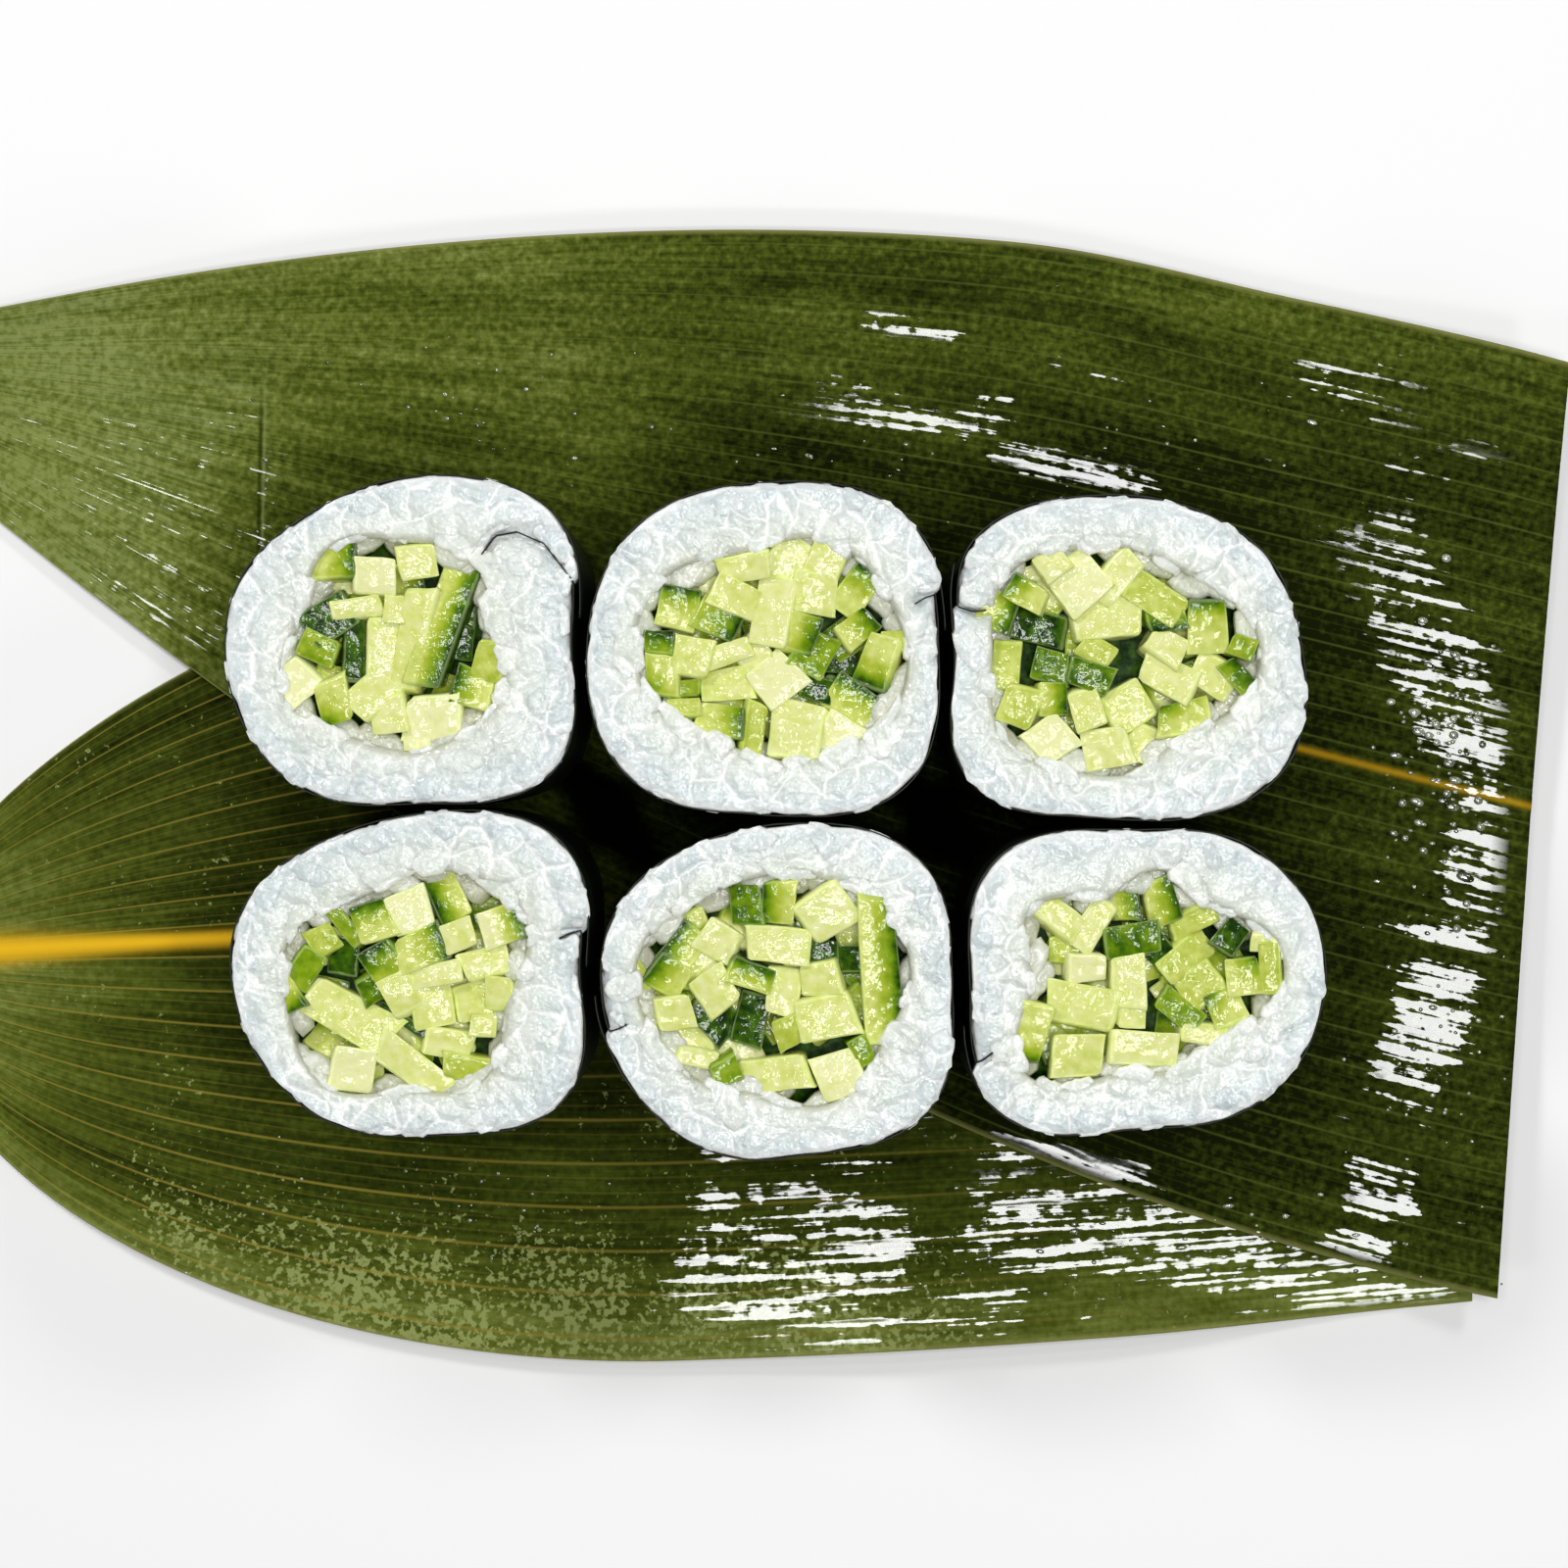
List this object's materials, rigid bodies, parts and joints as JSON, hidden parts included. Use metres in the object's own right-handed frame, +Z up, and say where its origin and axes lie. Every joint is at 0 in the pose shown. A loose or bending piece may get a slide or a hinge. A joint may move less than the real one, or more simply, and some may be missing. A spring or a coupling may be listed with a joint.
{
  "type": "cucumber maki roll",
  "caption": "Cucumber maki pieces, each nori, rice and cucumber sticks, standing in two rows on overlapping bamboo leaves",
  "frame": {"origin": "middle of the whole part's box, on the plane it stands on", "axes": "+X to the right along the leaves, from their tips to their cut ends, +Y away from the front edge, +Z up towards the cut faces"},
  "size_m": [0.1784, 0.108, 0.033],
  "materials": {
    "nori": "satin",
    "rice": "satin",
    "cucumber": "gloss",
    "leaf": "gloss"
  },
  "bodies": {
    "root": {"nori_1": "nori", "nori_2": "nori", "nori_3": "nori", "nori_4": "nori", "nori_5": "nori", "nori_6": "nori", "rice_1": "rice", "rice_2": "rice", "rice_3": "rice", "rice_4": "rice", "rice_5": "rice", "rice_6": "rice", "cucumber_1": "cucumber", "cucumber_2": "cucumber", "cucumber_3": "cucumber", "cucumber_4": "cucumber", "cucumber_5": "cucumber", "cucumber_6": "cucumber", "leaf_lower": "leaf", "leaf_upper": "leaf"}
  },
  "joints": []
}
